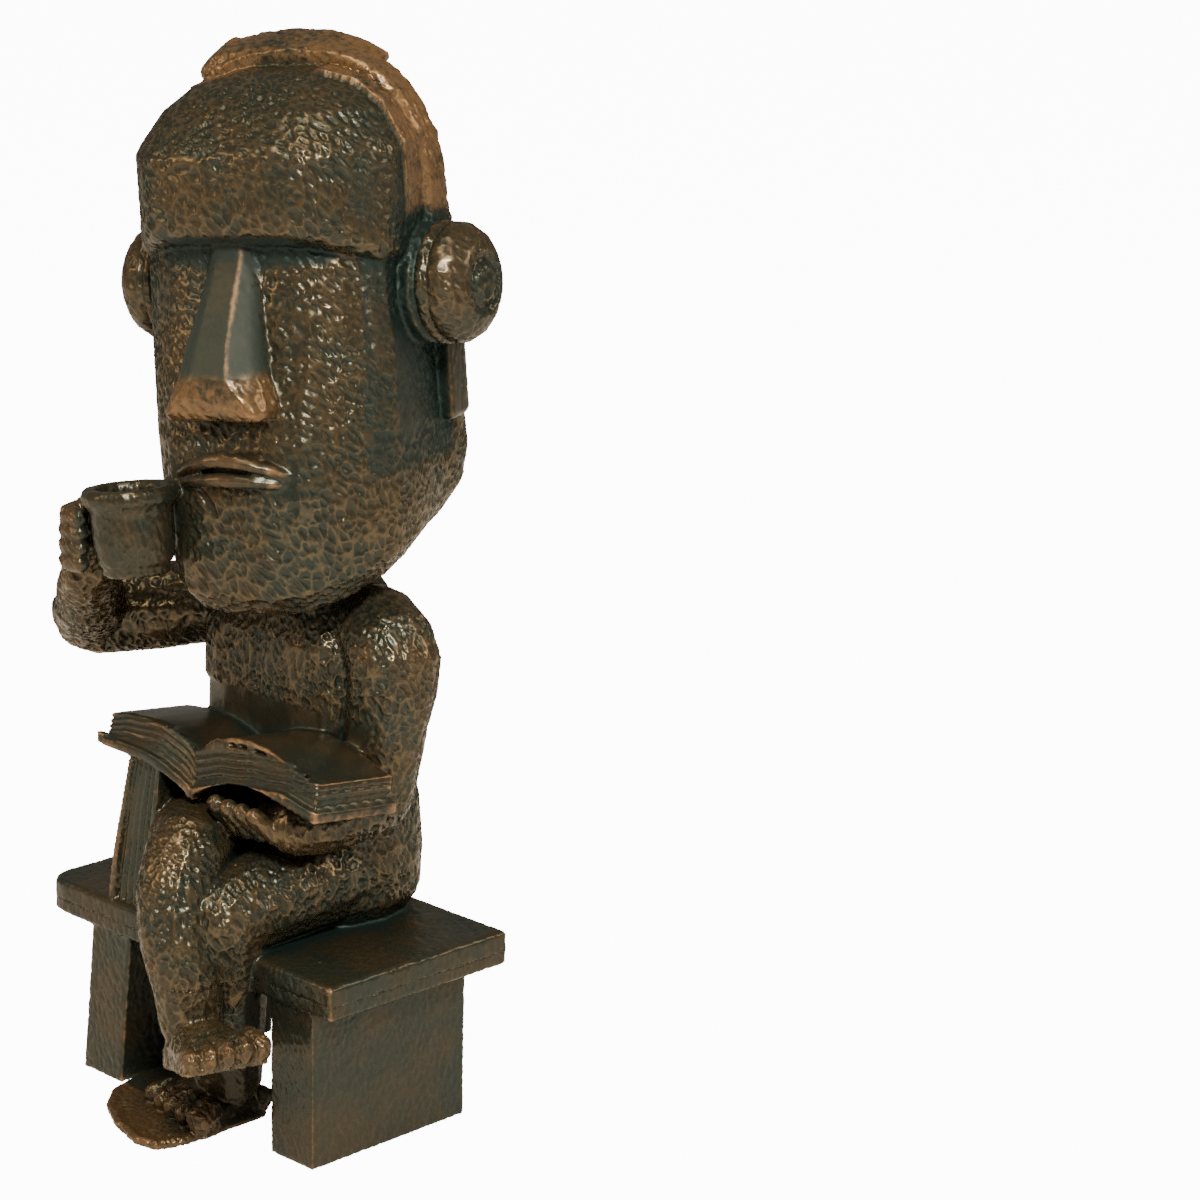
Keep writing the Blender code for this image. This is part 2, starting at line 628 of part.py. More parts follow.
def leaf_height(share, swell):
    """Height of the page block's foot over the gutter, for a share of the way to the fore-edge."""
    crest, edge = swell
    return edge * share + (crest - 0.4 * edge) * math.sin(math.pi * min(share, 1.0) ** 0.76)


def fan(share):
    """How the leaves spread between gutter and fore-edge, against the block's mean thickness."""
    return 1.20 - 0.34 * share + 0.12 * math.sin(math.pi * min(share, 1.0) ** 0.6)


def add_leaf(name, page, span, low, high, front, back, collection):
    """A curved sheet of the book from the gutter to span, for a page of (side, width, swell)."""
    side, width, swell = page
    place = book_matrix()
    steps = 7
    rings = []
    for k in range(steps + 1):
        share = k / steps
        x = side * (share * span - (SINK if k == 0 else 0.0))
        foot = leaf_height(share * span / width, swell)
        spread = fan(share)
        under = foot + low * (spread if low > 0.0 else 1.0)
        over = foot + high * spread
        rings.append([place @ Vector((x, front, under)), place @ Vector((x, back, under)),
                      place @ Vector((x, back, over)), place @ Vector((x, front, over))])
    loft(name, rings, collection)


def add_open_book(collection):
    """Two swells of pages on a cover that follows them and sticks out a little all round."""
    half = BOOK_DEPTH / 2
    edge = RIGHT_COVER_OVERHANG / 3
    for side, width, swell, overhang in (
            (1.0, LEFT_PAGE_WIDTH, LEFT_HAND_SWELL, LEFT_COVER_OVERHANG),
            (-1.0, RIGHT_PAGE_WIDTH, RIGHT_HAND_SWELL, RIGHT_COVER_OVERHANG)):
        page = (side, width, swell)
        add_leaf("cover", page, width + overhang, -COVER_THICKNESS, 0.0, -half - edge, half + edge,
                 collection)
        thick = PAGE_BLOCK / LEAF_COUNT
        for k in range(LEAF_COUNT):
            sunk = SINK / 2 if k == 0 else 0.0
            add_leaf("leaves_%d" % k, page, width - SINK / 4 * k, k * thick - sunk,
                     (k + 1) * thick - PAGE_GROOVE, -half, half, collection)
        inset = 2.0 * PAGE_GROOVE
        add_leaf("leaves_heart", page, width - inset - 1.5 * SINK, -SINK / 3, PAGE_BLOCK - 0.75 * inset,
                 -half + inset, half - inset, collection)


def add_upright_book(collection):
    """A closed book on end, its fore-edge to the front, leaning out at its foot."""
    top = book_matrix().translation.z + 0.6 * RIGHT_HAND_SWELL[1]
    low = BENCH_HEIGHT - SINK
    rings = []
    steps = 6
    for k in range(steps + 1):
        share = k / steps
        height = low + (top - low) * share
        lean = (-11.8 + 4.0 * share ** 1.4) * UNIT
        width = UPRIGHT_BOOK_WIDTH * (1.0 - 0.28 * share)
        front = -11.0 * UNIT - UPRIGHT_BOOK_DEPTH / 2
        back = front + UPRIGHT_BOOK_DEPTH
        ring = [Vector((lean - width / 2, back, height)),
                Vector((lean - width / 2, front - PLANK_EDGE, height))]
        start = lean - width / 2 + 0.12 * width
        pitch = 0.76 * width / UPRIGHT_LEAF_COUNT
        for j in range(UPRIGHT_LEAF_COUNT):
            x = start + j * pitch
            ring.append(Vector((x, front - PLANK_EDGE * (1.0 if j == 0 else 0.0), height)))
            ring.append(Vector((x + 0.10 * pitch, front + UPRIGHT_BOOK_GROOVE, height)))
            ring.append(Vector((x + 0.40 * pitch, front + UPRIGHT_BOOK_GROOVE, height)))
            ring.append(Vector((x + 0.55 * pitch, front, height)))
        ring.append(Vector((lean + width / 2 - 0.12 * width, front - PLANK_EDGE, height)))
        ring.append(Vector((lean + width / 2, front - PLANK_EDGE, height)))
        ring.append(Vector((lean + width / 2, back, height)))
        rings.append(ring)
    loft("upright_book", rings, collection)


# The casting

def casting_material():
    material = bpy.data.materials.new("antique_bronze")
    material.use_nodes = True
    shader = material.node_tree.nodes["Principled BSDF"]
    shader.inputs["Base Color"].default_value = BRONZE
    shader.inputs["Roughness"].default_value = BRONZE_ROUGHNESS
    shader.inputs["Metallic"].default_value = BRONZE_METALLIC
    return material


def fill_voids(mesh):
    """Makes the casting solid: removes the inward-facing skin of any hollow sealed inside it."""
    waiting = set(mesh.faces)
    while waiting:
        skin = {waiting.pop()}
        edge_of_skin = list(skin)
        while edge_of_skin:
            face = edge_of_skin.pop()
            for edge in face.edges:
                for other in edge.link_faces:
                    if other in waiting:
                        waiting.remove(other)
                        skin.add(other)
                        edge_of_skin.append(other)
        volume = sum(f.calc_center_median().dot(f.normal) * f.calc_area() for f in skin)
        if volume <= 0.0:
            bmesh.ops.delete(mesh, geom=list(skin), context="FACES")


def join_casting(collection):
    """Unites every form into one closed body, its box centred over the origin."""
    seed = bpy.data.objects["plank"]
    collection.objects.unlink(seed)
    bpy.context.scene.collection.objects.link(seed)
    union = seed.modifiers.new("union", "BOOLEAN")
    union.operation = "UNION"
    union.solver = "EXACT"
    union.operand_type = "COLLECTION"
    union.collection = collection
    bpy.context.view_layer.update()
    data = bpy.data.meshes.new_from_object(seed.evaluated_get(bpy.context.evaluated_depsgraph_get()))
    for item in list(collection.objects) + [seed]:
        bpy.data.objects.remove(item, do_unlink=True)
    mesh = bmesh.new()
    mesh.from_mesh(data)
    bmesh.ops.dissolve_limit(mesh, angle_limit=FLAT_ENOUGH, verts=mesh.verts, edges=mesh.edges)
    bmesh.ops.triangulate(mesh, faces=mesh.faces)
    fill_voids(mesh)
    low = [min(v.co[i] for v in mesh.verts) for i in range(3)]
    high = [max(v.co[i] for v in mesh.verts) for i in range(3)]
    shift = Vector((-(low[0] + high[0]) / 2, -(low[1] + high[1]) / 2, -low[2]))
    bmesh.ops.translate(mesh, verts=mesh.verts, vec=shift)
    mesh.to_mesh(data)
    mesh.free()
    data.name = "moai_figurine"
    data.materials.clear()
    data.materials.append(casting_material())
    data.shade_smooth()
    data.set_sharp_from_angle(angle=math.radians(35.0))
    figurine = bpy.data.objects.new("moai_figurine", data)
    bpy.context.scene.collection.objects.link(figurine)
    return figurine


def main():
    clear_scene()
    forms = bpy.data.collections.new("forms")
    bpy.context.scene.collection.children.link(forms)
    add_bench(forms)
    add_torso(forms)
    add_arms(forms)
    add_left_hand(forms)
    add_legs(forms)
    add_feet(forms)
    add_head(forms)
    add_nose(forms)
    add_lips(forms)
    add_ears(forms)
    add_headphones(forms)
    add_cup(forms)
    add_right_hand(forms)
    add_open_book(forms)
    add_upright_book(forms)
    return join_casting(forms)


main()
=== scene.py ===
"""Seated stone-head figurine in antique bronze finish: the look of the one casting."""
import itertools
import math

import bmesh
import bpy
import numpy as np
from mathutils import Matrix, Vector
from mathutils.bvhtree import BVHTree


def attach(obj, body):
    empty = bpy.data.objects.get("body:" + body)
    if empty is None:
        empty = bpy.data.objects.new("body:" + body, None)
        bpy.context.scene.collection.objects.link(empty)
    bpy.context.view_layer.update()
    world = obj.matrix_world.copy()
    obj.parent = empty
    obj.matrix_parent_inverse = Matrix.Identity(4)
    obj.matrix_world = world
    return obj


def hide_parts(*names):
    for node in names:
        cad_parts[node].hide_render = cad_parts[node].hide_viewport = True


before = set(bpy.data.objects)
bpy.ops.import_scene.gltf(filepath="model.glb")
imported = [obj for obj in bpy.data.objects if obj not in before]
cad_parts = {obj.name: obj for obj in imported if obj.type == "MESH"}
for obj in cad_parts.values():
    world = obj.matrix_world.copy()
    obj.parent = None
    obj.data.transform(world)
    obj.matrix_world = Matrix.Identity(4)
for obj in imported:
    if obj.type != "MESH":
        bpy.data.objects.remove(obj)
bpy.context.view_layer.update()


MM = 0.001
NODE = "moai_figurine"

# The bench in metres, as the part's source has it
BENCH_LENGTH = 0.0635
BENCH_DEPTH = 0.0340
BENCH_HEIGHT = 0.0285
SLAB_SETBACK = 0.0006
NEAR_SLAB_INSET = 0.0033

# The other forms in millimetres, placed from the middle of the seat
HEAD_TURN = math.radians(19.0)
HEAD_LEAN = math.radians(-5.0)
HEAD_PIVOT = (1.0, 7.0, 91.0)
BOOK_FOOT = (2.9, -9.3, 20.7)
BOOK_TILT = math.radians(-6.5)
CUP_FOOT = (-0.8, -23.0, 53.0)
CUP_TILT = math.radians(-7.0)
LEFT_PAGE_WIDTH = 25.6
RIGHT_PAGE_WIDTH = 19.6
BOOK_DEPTH = 14.2
PAGE_BLOCK = 4.6
LEFT_HAND_SWELL = (4.5, 2.6)
RIGHT_HAND_SWELL = (2.7, 3.2)


# Where the bench stands in the frame

ON_FLOOR = 0.01 * MM
SLAB_REACH = 15.0 * MM


def bench_middle():
    """The bench's middle on the floor, found from the foot of its near slab."""
    points = [v.co for v in bpy.data.objects[NODE].data.vertices if v.co.z < ON_FLOOR]
    edge = max(p.x for p in points)
    front = min(p.y for p in points if p.x > edge - SLAB_REACH)
    return Vector((edge - (BENCH_LENGTH / 2 - NEAR_SLAB_INSET),
                   front + BENCH_DEPTH / 2 - SLAB_SETBACK, 0.0))


MIDDLE = bench_middle()


def body_point(x, y, z):
    return MIDDLE + Vector((x * MM, y * MM, BENCH_HEIGHT + z * MM))


def head_matrix():
    turn = Matrix.Rotation(HEAD_TURN, 4, "Z")
    lean = Matrix.Rotation(HEAD_LEAN, 4, "Y")
    return Matrix.Translation(body_point(*HEAD_PIVOT)) @ turn @ lean


def book_matrix():
    return Matrix.Translation(body_point(*BOOK_FOOT)) @ Matrix.Rotation(BOOK_TILT, 4, "X")


def cup_matrix():
    return Matrix.Translation(body_point(*CUP_FOOT)) @ Matrix.Rotation(CUP_TILT, 4, "Y")


def local(points, matrix):
    """Points of the row frame in millimetres of a placed frame."""
    inverse = np.array(matrix.inverted())
    return (points @ inverse[:3, :3].T + inverse[:3, 3]) / MM


def smooth_step(low, high, value):
    t = np.clip((value - low) / (high - low), 0.0, 1.0)
    return t * t * (3.0 - 2.0 * t)


def inside_box(points, low, high, soft):
    """1 inside a box of the points' own units, falling to 0 over soft outside it."""
    result = np.ones(len(points))
    for axis in range(3):
        result *= smooth_step(low[axis] - soft, low[axis], points[:, axis])
        result *= 1.0 - smooth_step(high[axis], high[axis] + soft, points[:, axis])
    return result


# The dense casting

VOXEL = 0.27 * MM


def dense_copy():
    source = bpy.data.objects[NODE]
    data = source.data.copy()
    data.transform(source.matrix_world)
    item = bpy.data.objects.new("casting", data)
    bpy.context.scene.collection.objects.link(item)
    remesh = item.modifiers.new("remesh", "REMESH")
    remesh.mode = "VOXEL"
    remesh.voxel_size = VOXEL
    remesh.use_smooth_shade = True
    bpy.context.view_layer.update()
    graph = bpy.context.evaluated_depsgraph_get()
    dense = bpy.data.meshes.new_from_object(item.evaluated_get(graph))
    item.modifiers.clear()
    item.data = dense
    return item


class Skin:
    """The casting's points as arrays, with the sums that smoothing needs."""

    def __init__(self, data):
        self.data = data
        count = len(data.vertices)
        flat = np.empty(count * 3, np.float32)
        data.vertices.foreach_get("co", flat)
        self.points = flat.reshape(-1, 3).astype(float)
        ends = np.empty(len(data.edges) * 2, np.int32)
        data.edges.foreach_get("vertices", ends)
        ends = ends.reshape(-1, 2)
        self.here = np.concatenate((ends[:, 0], ends[:, 1]))
        self.there = np.concatenate((ends[:, 1], ends[:, 0]))
        self.degree = np.maximum(np.bincount(self.here, minlength=count), 1).astype(float)
        self.count = count

    def average(self, values):
        if values.ndim == 1:
            return np.bincount(self.here, values[self.there], self.count) / self.degree
        return np.stack([self.average(values[:, k]) for k in range(values.shape[1])], axis=1)

    def blur(self, values, rounds):
        for _ in range(rounds):
            values = 0.5 * values + 0.5 * self.average(values)
        return values

    def fair(self, weight, rounds):
        """Takes facets out without shrinking the forms, where weight is above 0."""
        weight = weight[:, None]
        for _ in range(rounds):
            for factor in (0.55, -0.57):
                pull = self.average(self.points) - self.points
                self.points = self.points + factor * weight * pull

    def write(self):
        self.data.vertices.foreach_set("co", self.points.astype(np.float32).ravel())
        self.data.update()

    def normals(self):
        self.write()
        flat = np.empty(self.count * 3, np.float32)
        self.data.vertices.foreach_get("normal", flat)
        return flat.reshape(-1, 3).astype(float)


# Boxes around the forms, low corner and high corner: on the body,
LEFT_HAND_BOX = ((5.0, -19.0, 12.0), (27.0, 6.0, 21.6))
UPRIGHT_BOOK_BOX = ((-18.6, -17.2, -0.6), (-5.6, -5.6, 22.0))
BENCH_BOX = ((-33.5, -17.6, -28.6), (33.5, 17.6, 0.2))
ANKLE_BOX = ((-4.0, -9.0, -26.5), (9.0, 6.0, -9.0))
FOREARM_BOX = ((-30.0, -22.0, 33.0), (-8.0, 4.0, 41.5))
# on the book and the cup,
OPEN_BOOK_BOX = ((-22.2, -8.1, -2.0), (26.6, 7.3, 12.0))
CUP_BOX = ((-9.0, -9.0, -0.6), (9.0, 9.0, 12.8))
# on the head,
HEAD_BOX = ((-30.0, -32.0, -46.0), (30.0, 20.0, 45.0))
NOSE_BOX = ((-10.5, -32.0, -16.0), (9.0, 0.0, 8.8))
LIPS_BOX = ((-10.4, -29.0, -30.0), (8.8, -20.0, -18.0))
LIP_CORNER_HIGHLIGHT_BOX = ((6.4, -29.0, -24.4), (7.4, -20.0, -22.6))
UNDER_BROW_SHADE_BOX = ((-17.0, -25.0, 6.0), (16.5, -10.0, 13.0))
# and on the head without the sign of its places, so that one box serves both sides
LOBE_BOX = ((18.4, 2.0, 3.0), (21.5, 9.8, 20.6))
SHADED_HEAD_SIDE_BOX = ((10.0, -15.0, -24.0), (19.6, 6.0, 30.0))

FACE_FRONT = -18.4
FACE_SLOPE = 0.215
NOSE_MIDDLE = -1.4
NOSE_FRONT_HALF = 2.6
NOSE_HIGHLIGHT_WIDTH = 0.5
NOSE_HIGHLIGHT_HEIGHTS = (-14.4, -12.2, -9.4, -5.0, 0.0, 5.5, 10.0)
NOSE_HIGHLIGHT_PLACES = (6.8, 5.2, 3.0, 2.5, 2.2, 1.9, 1.7)
LIP_MIDDLE = (-0.8, -22.2)
LIP_DROOP = 1.9
LIP_HALF_LENGTH = 8.5
EAR_CUP_RADIUS = 9.6
BAND_NARROWS = 1.52
BAND_MIDDLE = 1.0
BAND_HALF_WIDTH = 7.5


def regions(points):
    """How far each point belongs to the named forms, 0 to 1, and its place on head, body and book."""
    head = local(points, head_matrix())
    body = local(points, Matrix.Translation(body_point(0.0, 0.0, 0.0)))
    book = local(points, book_matrix())
    cup = local(points, cup_matrix())
    zone = {}
    under_book = smooth_step(0.4, -0.6, book[:, 2])
    left_hand = inside_box(body, *LEFT_HAND_BOX, 0.4) * under_book
    zone["open_book"] = inside_box(book, *OPEN_BOOK_BOX, 0.3) * (1.0 - left_hand)
    zone["upright_book"] = inside_box(body, *UPRIGHT_BOOK_BOX, 0.3)
    zone["bench"] = inside_box(body, *BENCH_BOX, 0.3)
    cup_round = smooth_step(8.0, 7.3, np.hypot(cup[:, 0], cup[:, 1]))
    zone["cup"] = cup_round * inside_box(cup, *CUP_BOX, 0.3)

    x, y, z = head.T
    aside = np.abs(x)
    zone["head"] = (smooth_step(-46.0, -44.0, z) * inside_box(head, *HEAD_BOX, 0.5)
                    * (1.0 - zone["cup"]))
    flare = np.clip((-8.0 - z) / 6.0, 0.0, 1.0)
    proud = smooth_step(0.3, 1.4, FACE_FRONT + FACE_SLOPE * np.clip(z, -30.0, 6.0) - y)
    zone["nose"] = proud * inside_box(head, *NOSE_BOX, 0.3)
    zone["nose_foot"] = zone["nose"] * smooth_step(-8.6, -10.4, z)
    zone["nose_front"] = zone["nose"] * smooth_step(
        0.2, 0.9, NOSE_FRONT_HALF + 0.3 * flare - np.abs(x - NOSE_MIDDLE))
    # Painted highlight: a bright line down one ridge of the nose, added to the copper edge mask
    from_highlight_line = x - NOSE_MIDDLE - np.interp(z, NOSE_HIGHLIGHT_HEIGHTS, NOSE_HIGHLIGHT_PLACES)
    zone["nose_ridge"] = (zone["nose"] * np.exp(-(from_highlight_line / NOSE_HIGHLIGHT_WIDTH) ** 2)
                          * smooth_step(-11.5, -9.5, z))
    lip_line = LIP_MIDDLE[1] - LIP_DROOP * (np.abs(x - LIP_MIDDLE[0]) / LIP_HALF_LENGTH) ** 1.8
    zone["lips"] = smooth_step(2.6, 1.7, np.abs(z - lip_line)) * inside_box(head, *LIPS_BOX, 0.6)
    # Painted highlight at one corner of the mouth, added to the copper edge mask
    zone["lip_corner"] = inside_box(head, *LIP_CORNER_HIGHLIGHT_BOX, 2.0)
    zone["lobe"] = inside_box(np.abs(head), *LOBE_BOX, 0.4) * (z < -3.0)
    zone["headphones"] = smooth_step(18.9, 19.6, aside) * (np.hypot(y, z) < EAR_CUP_RADIUS)
    zone["band"] = (smooth_step(30.9, 31.7, np.hypot(x * BAND_NARROWS, z)) * smooth_step(9.6, 10.6, z)
                    * (np.abs(y - BAND_MIDDLE) < BAND_HALF_WIDTH))
    one_side = np.stack((aside, y, z), axis=1)
    # Painted shade: the flat sides of the head between the face and the ear are darkened
    zone["side"] = smooth_step(14.8, 16.2, aside) * inside_box(one_side, *SHADED_HEAD_SIDE_BOX, 3.5)
    # Painted shade beneath the brow ledge
    zone["under_brow"] = (inside_box(head, *UNDER_BROW_SHADE_BOX, 3.5) * smooth_step(9.9, 9.1, z)
                          * smooth_step(-20.6, -18.6, y) * smooth_step(15.0, 12.0, np.abs(x + 0.7))
                          * (1.0 - zone["nose_ridge"]))
    return zone, head, body, book


def leaf_height(across, swell):
    """Height of the cover's upper side over the book's foot, by its share of the page's width."""
    edge, crest = swell
    arch = np.sin(math.pi * np.clip(across, 0.0, 1.0) ** 0.76)
    return edge * across + (crest - 0.4 * edge) * arch


def page_share(book):
    """Height in the page block, 0 at the cover and 1 at the top leaf, and how far across the page."""
    left = book[:, 0] > 0.0
    across = np.abs(book[:, 0]) / np.where(left, LEFT_PAGE_WIDTH, RIGHT_PAGE_WIDTH)
    low = np.where(left, leaf_height(across, LEFT_HAND_SWELL), leaf_height(across, RIGHT_HAND_SWELL))
    share = np.clip(across, 0.0, 1.0)
    thick = PAGE_BLOCK * (1.20 - 0.34 * share + 0.12 * np.sin(math.pi * share ** 0.6))
    return (book[:, 2] - low) / thick, across


# Noise and cells, the same on each run

PLACE_PRIMES = (73856093, 19349663, 83492791)
SEED_PRIME = 40503
STIRS = ((13, 1274126177), (16, 668265263))
LOW_32_BITS = 0xFFFFFFFF
LOW_24_BITS = 0xFFFFFF
FARTHER_THAN_ANY = 9.0


def scatter(cells, seed):
    """A repeatable value from 0 to 1 for each whole-numbered place."""
    c = cells.astype(np.int64)
    mixed = (c[:, 0] * PLACE_PRIMES[0]) ^ (c[:, 1] * PLACE_PRIMES[1]) ^ (c[:, 2] * PLACE_PRIMES[2])
    mixed = (mixed ^ (seed * SEED_PRIME)) & LOW_32_BITS
    for shift, factor in STIRS:
        mixed = ((mixed ^ (mixed >> shift)) * factor) & LOW_32_BITS
    return ((mixed ^ (mixed >> 15)) & LOW_24_BITS) / float(LOW_24_BITS)


def soft_noise(points, size, seed):
    """Smooth noise from -1 to 1 with features of the size."""
    q = points / size
    base = np.floor(q)
    t = q - base
    t = t * t * (3.0 - 2.0 * t)
    total = np.zeros(len(points))
    for corner in itertools.product((0.0, 1.0), repeat=3):
        step = np.array(corner)
        weight = np.prod(np.where(step > 0.5, t, 1.0 - t), axis=1)
        total += weight * scatter(base + step, seed)
    return 2.0 * total - 1.0


def cell_relief(points, cell, grain, stretch, warp, seed):
    """Distance from the border of the cell each point is in, as a share of the cell's size."""
    q = points / cell
    q = q - grain * (stretch * np.sum(q * grain, axis=1))[:, None]
    bend = np.stack([soft_noise(q, 2.2, seed + 10 + k) for k in range(3)], axis=1)
    q = q + warp * bend
    base = np.floor(q)
    first = np.full(len(q), FARTHER_THAN_ANY)
    second = np.full(len(q), FARTHER_THAN_ANY)
    for corner in itertools.product((-1.0, 0.0, 1.0), repeat=3):
        place = base + np.array(corner)
        spot = place + np.stack([scatter(place, seed + 20 + k) for k in range(3)], axis=1)
        away = np.sqrt(np.sum((q - spot) ** 2, axis=1))
        second = np.minimum(second, np.maximum(first, away))
        first = np.minimum(first, away)
    return second - first


# How far each point lies in a dip, which sets the painted shade in hollows

GRID = 1.0 * MM
SPREAD = 3.2
BELL_REACH = 10
MARGIN = 12


def crowding(points):
    """Share of the space around each point that the casting fills: half on a flat face, more where the
    surface folds in.
    """
    source = bpy.data.objects[NODE]
    tree = BVHTree.FromPolygons([source.matrix_world @ v.co for v in source.data.vertices],
                                [tuple(f.vertices) for f in source.data.polygons])
    low = points.min(axis=0) - MARGIN * GRID
    size = np.ceil((points.max(axis=0) - low) / GRID).astype(int) + MARGIN
    filled = np.zeros(size)
    inner = [range(MARGIN - 1, n - MARGIN + 1) for n in size]
    for i, j, k in itertools.product(*inner):
        spot = Vector((low[0] + i * GRID, low[1] + j * GRID, low[2] + k * GRID))
        near, normal = tree.find_nearest(spot)[:2]
        filled[i, j, k] = (spot - near).dot(normal) < 0.0
    reach = np.arange(-BELL_REACH, BELL_REACH + 1)
    bell = np.exp(-0.5 * (reach / SPREAD) ** 2)
    bell /= bell.sum()
    for axis in range(3):
        filled = sum(w * np.roll(filled, int(r), axis=axis) for w, r in zip(bell, reach))
    q = (points - low) / GRID
    base = np.floor(q).astype(int)
    t = q - base
    result = np.zeros(len(points))
    for corner in itertools.product((0, 1), repeat=3):
        weight = np.prod(np.where(np.array(corner) > 0, t, 1.0 - t), axis=1)
        result += weight * filled[tuple((base + corner).T)]
    return result


def add_attribute(data, name, values):
    attribute = data.attributes.new(name, "FLOAT", "POINT")
    attribute.data.foreach_set("value", values.astype(np.float32))


# The open book's leaves

PAGE_LINES = 5.0
GROOVE_DEPTH = 0.34
LINE_WAVER = 0.10


def press_pages(skin, book, zone):
    """Brings the ends of the leaves to one face and carves the lines between them."""
    level, across = page_share(book)
    x, y = book[:, 0], book[:, 1]
    front_face = -BOOK_DEPTH / 2
    wide = np.where(x > 0.0, LEFT_PAGE_WIDTH, RIGHT_PAGE_WIDTH)
    block = (smooth_step(-0.02, 0.06, level) * smooth_step(0.98, 0.90, level)
             * (zone["open_book"] > 0.5))
    lined = smooth_step(0.02, 0.12, level) * smooth_step(0.93, 0.84, level)
    wave = 0.5 + 0.5 * np.cos(2.0 * math.pi * (PAGE_LINES * level + LINE_WAVER * np.sin(0.9 * x)))
    groove = GROOVE_DEPTH * wave ** 1.5 * lined
    front = block * smooth_step(front_face + 1.5, front_face + 0.9, y) * (across < 1.02)
    side = block * smooth_step(1.5, 0.9, wide - np.abs(x)) * (np.abs(y) < BOOK_DEPTH / 2 - 0.2)
    moved = book.copy()
    moved[:, 1] += front * (front_face + groove - y)
    moved[:, 0] += side * (1.0 - front) * (np.sign(x) * (wide - groove) - x)
    place = np.array(book_matrix())
    placed = (moved * MM) @ place[:3, :3].T + place[:3, 3]
    share = np.maximum(front, side)
    skin.points = np.where(share[:, None] > 0.0, placed, skin.points)
    return share * wave * lined


# Soft forms, rounded out by these heights in millimetres

ANKLE_SWELL = 1.1
FOREARM_SWELL = 0.6
STRAP_SWELL = 0.9
PAD_SWELL = 0.8


def fill_out(skin, head, body, zone):
    """Rounds a few soft forms out a little beyond the faceted solid."""
    normal = skin.normals()
    ankle = inside_box(body, *ANKLE_BOX, 2.5)
    forearm = inside_box(body, *FOREARM_BOX, 1.5)
    swell = ANKLE_SWELL * ankle + FOREARM_SWELL * forearm
    skin.points = skin.points + normal * (swell * MM * (1.0 - zone["bench"]))[:, None]
    x, z = head[:, 0], head[:, 2]
    turn = np.array(head_matrix())[:3, :3]
    radial = head * np.array((1.0, 0.0, 1.0))
    radial = (radial / np.maximum(np.linalg.norm(radial, axis=1), 1e-6)[:, None]) @ turn.T
    strap = zone["band"] * smooth_step(10.0, 17.0, z) * smooth_step(34.0, 28.0, z) * (x > 0.0)
    pad_end = zone["band"] * smooth_step(-9.0, -12.0, x) * smooth_step(26.0, 31.0, z)
    outward = np.clip(np.einsum("ij,ij->i", normal, radial), 0.0, 1.0)
    lift = (STRAP_SWELL * strap + PAD_SWELL * pad_end) * outward * MM
    skin.points = skin.points + radial * lift[:, None]


# The surface: how much of its edges and of the relief each form keeps, 1 for all

CRISPNESS = {"open_book": 1.0, "upright_book": 1.0, "bench": 0.9, "lips": 0.75, "nose": 0.6,
             "band": 0.8, "cup": 0.5, "headphones": 0.7}
KEPT_RELIEF = {"open_book": 0.03, "upright_book": 0.05, "bench": 0.40, "cup": 0.55, "nose": 0.22,
               "lips": 0.12, "lobe": 0.3, "headphones": 0.75, "band": 0.62}
NOSE_FOOT_RELIEF = 0.75
FAIR_ROUNDS = 30
NEAR_BLUR = 9
FAR_BLUR = 40
EDGE_HEIGHT = 0.10 * MM
BULK_HEIGHT = 0.5 * MM
CELL = 1.18 * MM
HEAD_GRAIN = np.array((0.62, 0.34, -0.70))
BODY_GRAIN = np.array((0.20, 0.25, -0.95))
RIDGE_WIDTH = 0.16
RELIEF_DEPTH = 0.27
RELIEF_VARIES = 0.09
PATCH = 7.0 * MM
GRAIN = 0.55 * MM
GRAIN_DEPTH = 0.018 * MM


